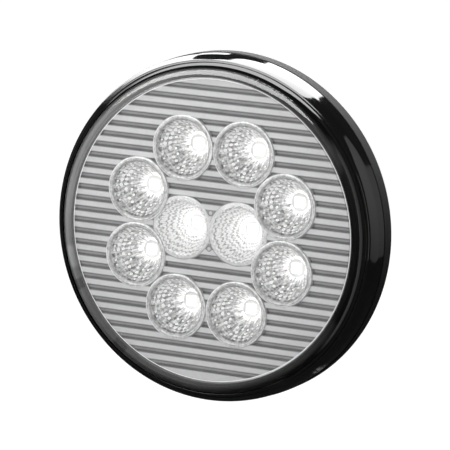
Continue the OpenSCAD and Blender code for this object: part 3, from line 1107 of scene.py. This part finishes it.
def led_finish():
    material, wire = start_material("led_lit")
    place = object_place(wire)
    dome = split(wire, place)[1].fade_mm(board_y - LED_H + 0.2, board_y - LED_H - 0.2)
    grain = noise(wire, place, 4000, 2)
    put_principled(
        wire,
        Base_Color=dome.mix(grey(0.75), (1.0, 0.99, 0.95, 1.0)),
        Roughness=0.25 + grain * 0.1,
        Emission_Color=(0.6 + dome * 0.3 + grain * 0.1).mix(grey(0.0), (1.0, 0.995, 0.98, 1.0)),
        Emission_Strength=LED_LIGHT,
    )
    return material


def build_led(number, material):
    node = f"led_{number}"
    low, high = box_mm(node)
    centre = ((low.x + high.x) / 2, (low.z + high.z) / 2)
    top = high.y - LED_H
    dome = arc((0, top), top - low.y, 0, -90, 8)
    made = spin_outline([(0, top), *dome], LED_TURNS, closed=False, centre=centre)
    base = bmesh.ops.create_cube(made, size=LED_SIDE * MM)["verts"]
    bmesh.ops.scale(made, verts=base, vec=(1, LED_H / LED_SIDE, 1))
    bmesh.ops.translate(made, verts=base, vec=(centre[0] * MM, (high.y - LED_H / 2) * MM, centre[1] * MM))
    edges = list({edge for vert in base for edge in vert.link_edges})
    bmesh.ops.bevel(
        made, geom=edges, offset=LED_BEVEL * MM, segments=2, profile=0.5, affect="EDGES", material=-1
    )
    led = finish_piece(made, f"led_{number}_lit", material, sharp=50)
    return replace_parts(led, node)


led_light = led_finish()
leds = [build_led(k, led_light) for k in range(1, 11)]
print("LEDs:", len(leds))

# %% [markdown]
# ## Posts
# Two posts hold the plate to the circuit board. Their heads show as two small round marks between the centre pair.
# The CAD's own meshes are fine enough for that, and the material draws a dark ring round each head.

# %% Posts
POST_AT = 5.6
POST_RING = (0.45, 0.7)


def post_finish():
    material, wire = start_material("post_satin")
    place = object_place(wire)
    x, _, z = split(wire, place)
    ring = off_axis(x, z.size() - POST_AT * MM).fade_mm(*POST_RING)
    grain = noise(wire, place, 2200, 3)
    put_principled(
        wire,
        Base_Color=shade(wire, 0.62 - ring * 0.42 + (grain - 0.5) * 0.2),
        Roughness=0.35 + grain * 0.15,
        Normal=bump(wire, grain - ring * 0.5, 0.3, 0.05 * MM),
    )
    return material


dress("plate_posts", post_finish())
print("posts", POST_AT, "mm above and below the axis")

# %% [markdown]
# ## The plug socket and its pins
# The socket is a matt black moulding with a key, and three round brass pins stand in it. No camera comes near it, so
# the CAD's own meshes do, with a finish that metal and plastic share: one cloudy colour with a fine grain.

# %% Socket and pins
METAL_GRAIN = 1800


def metal_finish(name, colour, roughness, metallic=1.0, depth=0.02 * MM):
    """Bare or plated metal, or plastic where metallic is 0, with its own fine unevenness."""
    material, wire = start_material(name)
    place = object_place(wire)
    grain = noise(wire, place, METAL_GRAIN, 3)
    cloud = noise(wire, place, METAL_GRAIN / 9, 2)
    dark = tuple(c * 0.75 for c in colour) + (1.0,)
    light = tuple(min(1.0, c * 1.15) for c in colour) + (1.0,)
    put_principled(
        wire,
        Base_Color=cloud.mix(dark, light),
        Metallic=metallic,
        Roughness=roughness + grain * 0.12,
        Normal=bump(wire, grain, 0.3, depth),
    )
    return material


dress("plug_socket", metal_finish("socket_black", (0.018, 0.018, 0.019), 0.5, metallic=0.0, depth=0.05 * MM))
brass = metal_finish("terminal_brass", (0.72, 0.52, 0.24), 0.18)
for pin in ("ground_pin", "tail_pin", "stop_pin"):
    dress(pin, brass)
print("socket and pins dressed")

# %% [markdown]
# ## What is sealed inside
# Nobody sees these pieces while the lamp is whole, but the model can be taken apart. One plain finish for all would
# do for that, but then they couldn't be told apart, so each has its own.

# %% Inner pieces
INNER_PIECES = (
    ("lens_seal", "seal_rubber", (0.03, 0.03, 0.032), 0.6, 0.0),
    ("circuit_board", "board_white", (0.8, 0.8, 0.79), 0.3, 0.0),
    ("board_screws", "screw_zinc", (0.68, 0.69, 0.71), 0.3, 1.0),
    ("resistors", "chip_black", (0.03, 0.03, 0.03), 0.4, 0.0),
    ("diodes", "diode_black", (0.04, 0.04, 0.042), 0.45, 0.0),
    ("capacitors", "can_aluminium", (0.72, 0.73, 0.75), 0.25, 1.0),
    ("regulator", "regulator_black", (0.035, 0.035, 0.038), 0.45, 0.0),
    ("surge_suppressor", "surge_black", (0.045, 0.045, 0.045), 0.5, 0.0),
    ("solder_joints", "solder_bright", (0.66, 0.67, 0.69), 0.2, 1.0),
    ("potting", "potting_epoxy", (0.02, 0.02, 0.024), 0.3, 0.0),
)
for node, *finish in INNER_PIECES:
    dress(node, metal_finish(*finish))
print("inner pieces dressed:", len(INNER_PIECES))

# %% [markdown]
# ## The studio
# The floor is pale and far below, and both it and the world are white where the camera looks. Everything could be
# lit by a white world alone, but black gloss shows what it mirrors, and it would turn pale all over. So the floor
# and the world are nearly dark to a glossy ray, and what the gloss mirrors is set by cards.

# %% Floor and world
FLOOR_DROP = 0.32
FLOOR_SIZE = 14.0
FLOOR_GLOW = 0.8
WORLD_FILL = 0.35
WORLD_GLOSS = 0.04


def floor_finish():
    material, wire = start_material("floor_pale")
    mottle = noise(wire, object_place(wire), 6, 3)
    lit = wire.node("ShaderNodeBsdfDiffuse", None, {"Color": mottle.mix(grey(0.55), grey(0.57))})
    to_camera, mirrored = (wire.node("ShaderNodeLightPath", output=k) for k in (0, 3))
    glow = wire.node("ShaderNodeEmission", None, {"Color": grey(1.0), "Strength": FLOOR_GLOW})
    bright = wire.node("ShaderNodeAddShader", None, {0: lit, 1: glow})
    dark = wire.node("ShaderNodeBsdfDiffuse", None, {"Color": grey(0.03)})
    put_on_surface(wire, mix_shaders(wire, mirrored, mix_shaders(wire, to_camera, lit, bright), dark))
    return material


def build_floor():
    made = bmesh.new()
    bmesh.ops.create_grid(made, x_segments=4, y_segments=4, size=FLOOR_SIZE / 2)
    bmesh.ops.translate(made, verts=made.verts, vec=(0, 0, -FLOOR_DROP))
    add_object(made, "floor", floor_finish())


def build_world():
    """White to the camera, also through clear pieces, nearly dark to a mirror, and a soft fill for the rest."""
    world = bpy.data.worlds.new("studio")
    world.use_nodes = True
    world.node_tree.nodes.clear()
    wire = Wire(world.node_tree)
    to_camera, mirrored, let_through = (wire.node("ShaderNodeLightPath", output=k) for k in (0, 3, 6))
    seen = to_camera.larger(let_through)
    level = (1 - seen) * (1 - mirrored) * WORLD_FILL + mirrored * (1 - to_camera) * WORLD_GLOSS + seen
    sky = wire.node("ShaderNodeBackground", None, {"Color": grey(1.0), "Strength": level})
    put_on_surface(wire, sky, "ShaderNodeOutputWorld")
    scene.world = world


build_floor()
build_world()
print("floor", FLOOR_DROP, "m below the axis")

# %% [markdown]
# ## What the gloss mirrors
# A photographer stands cards round a black lamp. Area lamps could stand there too, but a card can have any outline,
# and its outline is what the gloss shows. A softbox is overhead and behind, the key and side cards reach over the
# front and the left, the left and bead cards catch the edges, a black flag cuts into the softbox, and the right and
# front cards are grey. They show only in reflections and light nothing.

# %% Cards
CARD_AWAY = 1.4


def sky_place(azimuth, elevation, away):
    """A place round the lamp. Azimuth runs from behind it (+Y) to its right (+X)."""
    a, e = math.radians(azimuth), math.radians(elevation)
    return Vector((math.sin(a) * math.cos(e), math.cos(a) * math.cos(e), math.sin(e))) * away


def card_finish(name, brightness):
    """brightness is a number, or a function that makes a wire from a direction's x and z."""
    material, wire = start_material(name)
    if callable(brightness):
        ahead = wire.node("ShaderNodeVectorMath", {"operation": "NORMALIZE"}, {0: object_place(wire)})
        x, _, z = split(wire, ahead)
        brightness = brightness(x, z)
    put_on_surface(wire, wire.node("ShaderNodeEmission", None, {"Color": grey(1.0), "Strength": brightness}))
    return material


def add_card(name, corners, brightness, away=CARD_AWAY, seen_from=(0, 0, 0)):
    """A card that shows only in reflections. Its corners are directions from seen_from."""
    made = bmesh.new()
    made.faces.new([made.verts.new(Vector(seen_from) + sky_place(*corner, away)) for corner in corners])
    bmesh.ops.triangulate(made, faces=made.faces)
    card = add_object(made, name, card_finish(name, brightness))
    card.visible_camera = card.visible_diffuse = card.visible_shadow = card.visible_transmission = False


SOFTBOX = [
    (-3, 22), (5, 30), (15, 40), (22, 50), (38, 60), (60, 68), (100, 74), (-120, 76), (-78, 60),
    (-80, 45), (-84, 20), (-52, 18), (-26, 18),
]
KEY_CARD = [
    (-224, 50), (-196, 38), (-178, 30), (-168, 21), (-160, 13), (-156, 5), (-153, 0), (-146, 1), (-136, 8),
    (-126, 22), (-118, 36), (-116, 48), (-120, 61), (-140, 70), (-180, 72), (-226, 70),
]
SIDE_CARD = [
    (-130, 9), (-111, 21), (-103, 40), (-99, 50), (-108, 63), (-122, 75), (-140, 76), (-140, 70), (-120, 61),
    (-116, 48), (-118, 36), (-126, 22),
]
LEFT_CARD = [(-46, 6), (-50, 19.5), (-24, 17.5), (-26, 4)]
FLAG = [
    (-16, 18), (-18, 26), (-24, 38), (-32, 50), (-42, 58), (-58, 56), (-57, 46), (-44, 36), (-36, 26),
    (-30, 14), (-24, 10), (-18, 12),
]
RIGHT_CARD = [(12, -10), (15, 2), (24, 12), (32, 24), (42, 36), (62, 42), (80, 32), (84, 10), (82, -14)]

add_card("softbox", SOFTBOX, lambda x, z: (z - 0.13) * 19.5)
add_card("key_card", KEY_CARD, 11.0)
add_card("side_card", SIDE_CARD, 4.0)
add_card("left_card", LEFT_CARD, 3.0)
add_card("bead_card", [(105, -26), (106, 26), (119, 24), (118, -24)], 2.0)
add_card("flag", FLAG, 0.03, away=CARD_AWAY * 0.5, seen_from=(0, -0.008, 0.054))
add_card("right_card", RIGHT_CARD, lambda x, z: (0.15 + ((x - 0.3) * 1.2)).larger(0.1) * (0.75 + z * 1.2))
add_card("front_card", [(-175, -40), (-175, 6), (-120, 6), (-120, -40)], 0.8)
print("cards up")

# %% [markdown]
# ## Lamps
# The photograph has soft, even light from the front. One big lamp would do, but two give the left side a little
# more than the right. The gloss doesn't see them, because the cards stand for them there.


# %% Lamps
def add_lamp(name, place, size, power):
    """A rectangular lamp that faces the origin."""
    data = bpy.data.lights.new(name, "AREA")
    data.shape = "RECTANGLE"
    data.size, data.size_y = size
    data.energy = power
    lamp = bpy.data.objects.new(name, data)
    lamp.location = place
    lamp.rotation_euler = Vector(place).to_track_quat("Z", "Y").to_euler()
    scene.collection.objects.link(lamp)
    lamp.visible_glossy = False


add_lamp("key", (-0.9, -1.3, 1.0), (0.8, 0.8), 22.5)
add_lamp("fill", (0.5, -1.6, 0.3), (1.0, 1.0), 7.5)
scene.view_settings.view_transform = "Standard"
print("lamps lit")

# %% [markdown]
# ## How true the points are
# Each image point is compared with what the camera sees of the finished pieces: the outermost vertices for the four
# edges, and the middle of the front edge for each round thing. Two pictures could be compared by eye, but a number
# shows which way a piece is out. The painted highlight patch was placed by its own point, so it only tests the two
# formulas.

# %% Measure the points
RIM_FACE = 0.31 * MM
FIELD_BAND = 0.3 * MM
POST_FACE = 0.01 * MM


def to_photo(point):
    """Where a place shows in the photograph's frame: the ray of place_on() turned round."""
    data = camera.data
    seen = camera.matrix_world.inverted() @ point
    reach = PHOTO * data.lens / data.sensor_width / -seen.z
    return (
        PHOTO / 2 + seen.x * reach - data.shift_x * PHOTO,
        PHOTO / 2 - seen.y * reach + data.shift_y * PHOTO,
    )


def middle_of(piece, keep):
    """The middle of where those vertices show that keep() picks."""
    spots = [to_photo(vert.co) for vert in piece.data.vertices if keep(vert.co)]
    xs, ys = zip(*spots)
    return (min(xs) + max(xs)) / 2, (min(ys) + max(ys)) / 2


def on_field_edge(co):
    return abs(co.xz.length - field_r * MM) < FIELD_BAND and co.y < lens_in_y * MM + FIELD_BAND


def measure_points():
    edges = [to_photo(vert.co) for piece in (housing_shell, clear_lens) for vert in piece.data.vertices]
    xs, ys = zip(*edges)
    found = {"left": min(xs), "right": max(xs), "top": min(ys), "bottom": max(ys)}
    for node, cup in cups.items():
        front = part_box(node)[0].y
        found[node] = middle_of(cup, lambda co, front=front: co.y < front + RIM_FACE)
    found["field"] = middle_of(clear_lens, on_field_edge)
    posts = frame["nodes"]["plate_posts"]
    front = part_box("plate_posts")[0].y + POST_FACE
    found["upper_post"] = middle_of(posts, lambda co: co.y < front and co.z > 0)
    found["lower_post"] = middle_of(posts, lambda co: co.y < front and co.z < 0)
    found["highlight_patch"] = to_photo(highlight_patch_at)
    return found


found = measure_points()
for name, aimed in IMAGE_POINTS.items():
    if isinstance(aimed, tuple):
        {"dx": round(found[name][0] - aimed[0], 2), "dy": round(found[name][1] - aimed[1], 2)}
    else:
        {"off": round(found[name] - aimed, 2)}
